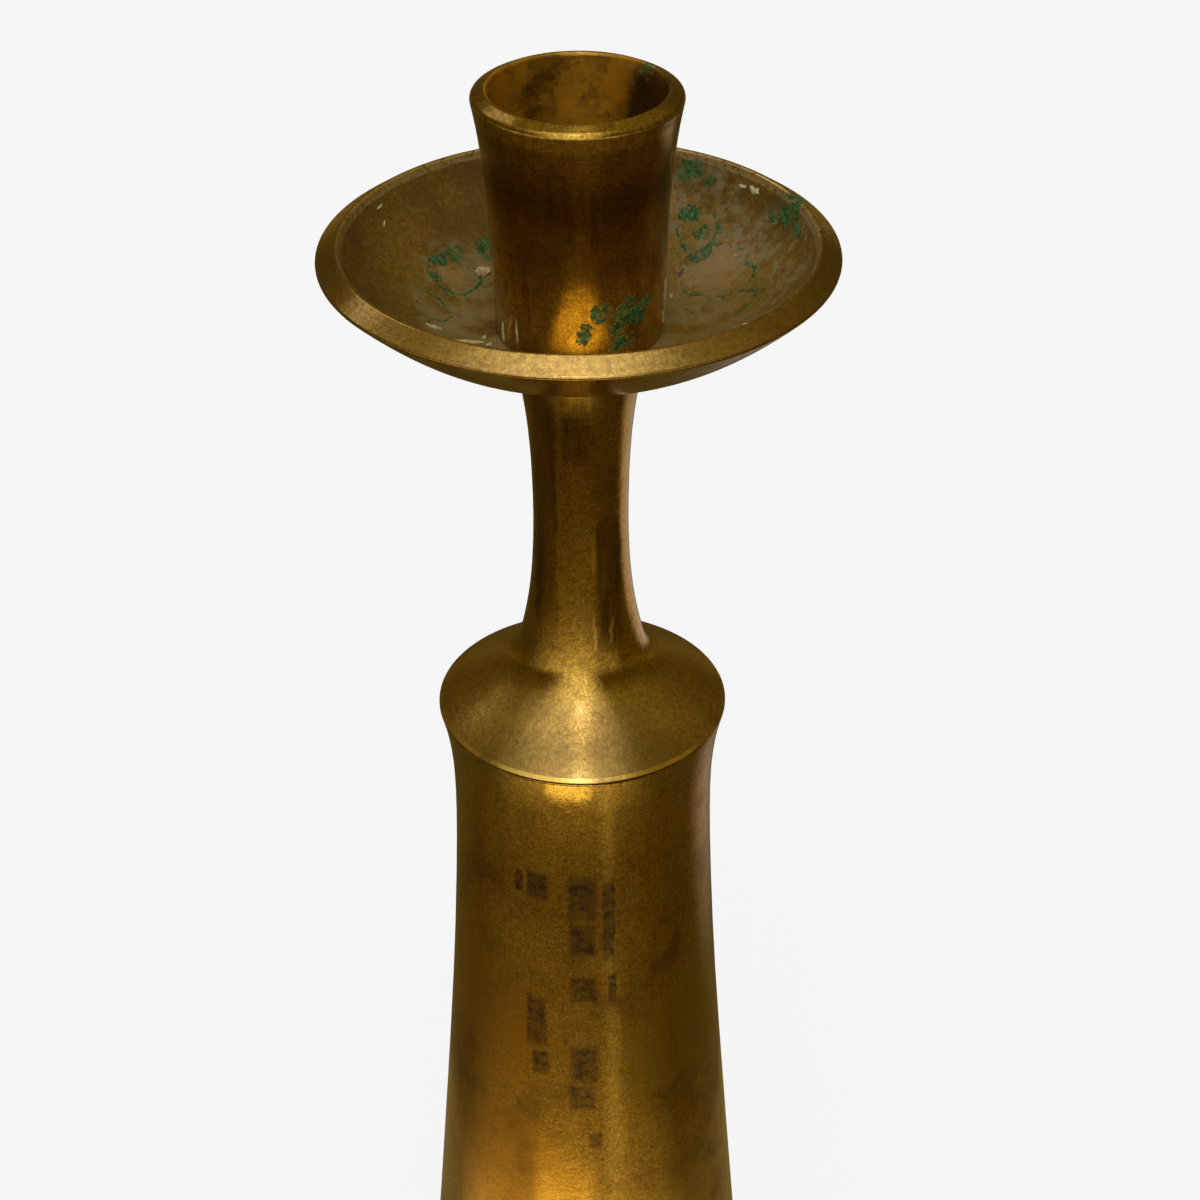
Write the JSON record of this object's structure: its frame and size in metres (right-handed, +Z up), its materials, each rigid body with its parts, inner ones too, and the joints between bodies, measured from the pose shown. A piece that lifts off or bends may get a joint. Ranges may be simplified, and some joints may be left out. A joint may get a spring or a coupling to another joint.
{
  "type": "candlestick",
  "caption": "Turned brass candlestick with a tapered candle cup and round drip pan on a waisted neck, above a tall hollow body with a weighted, felted foot.",
  "frame": {"origin": "on the turning axis, in the plane of the table under the felt", "axes": "+Z up along the turning axis, from the foot to the candle cup"},
  "size_m": [0.069, 0.069, 0.24],
  "materials": {
    "aged_brass": "aged, satin to bright where handled",
    "zinc_steel": "zinc plated, dull",
    "cast_iron": "rough, as cast",
    "felt": "woollen felt"
  },
  "bodies": {
    "stand": {"neck": "aged_brass", "body": "aged_brass", "tie_rod": "zinc_steel", "rod_locknut": "zinc_steel", "rod_washer": "zinc_steel", "lock_washer": "zinc_steel", "rod_nut": "zinc_steel", "ballast": "cast_iron", "base_disc": "zinc_steel", "felt_pad": "felt"},
    "pan": {"drip_pan": "aged_brass"},
    "cup": {"candle_cup": "aged_brass", "cup_screw": "zinc_steel"}
  },
  "joints": [
    {"name": "pan_lift", "type": "slide", "parent": "stand", "child": "pan", "axis": [0, 0, 1], "range_m": [0, 0.0094]},
    {"name": "cup_unscrew", "type": "hinge", "parent": "pan", "child": "cup", "pos_m": [0, 0, 0.2046], "axis": [0, 0, 1], "range_deg": [0, 2707.2]}
  ],
  "couplings": [
    {"joint": "cup_unscrew", "follows": "pan_lift", "rad_per_m": 5026.5}
  ]
}
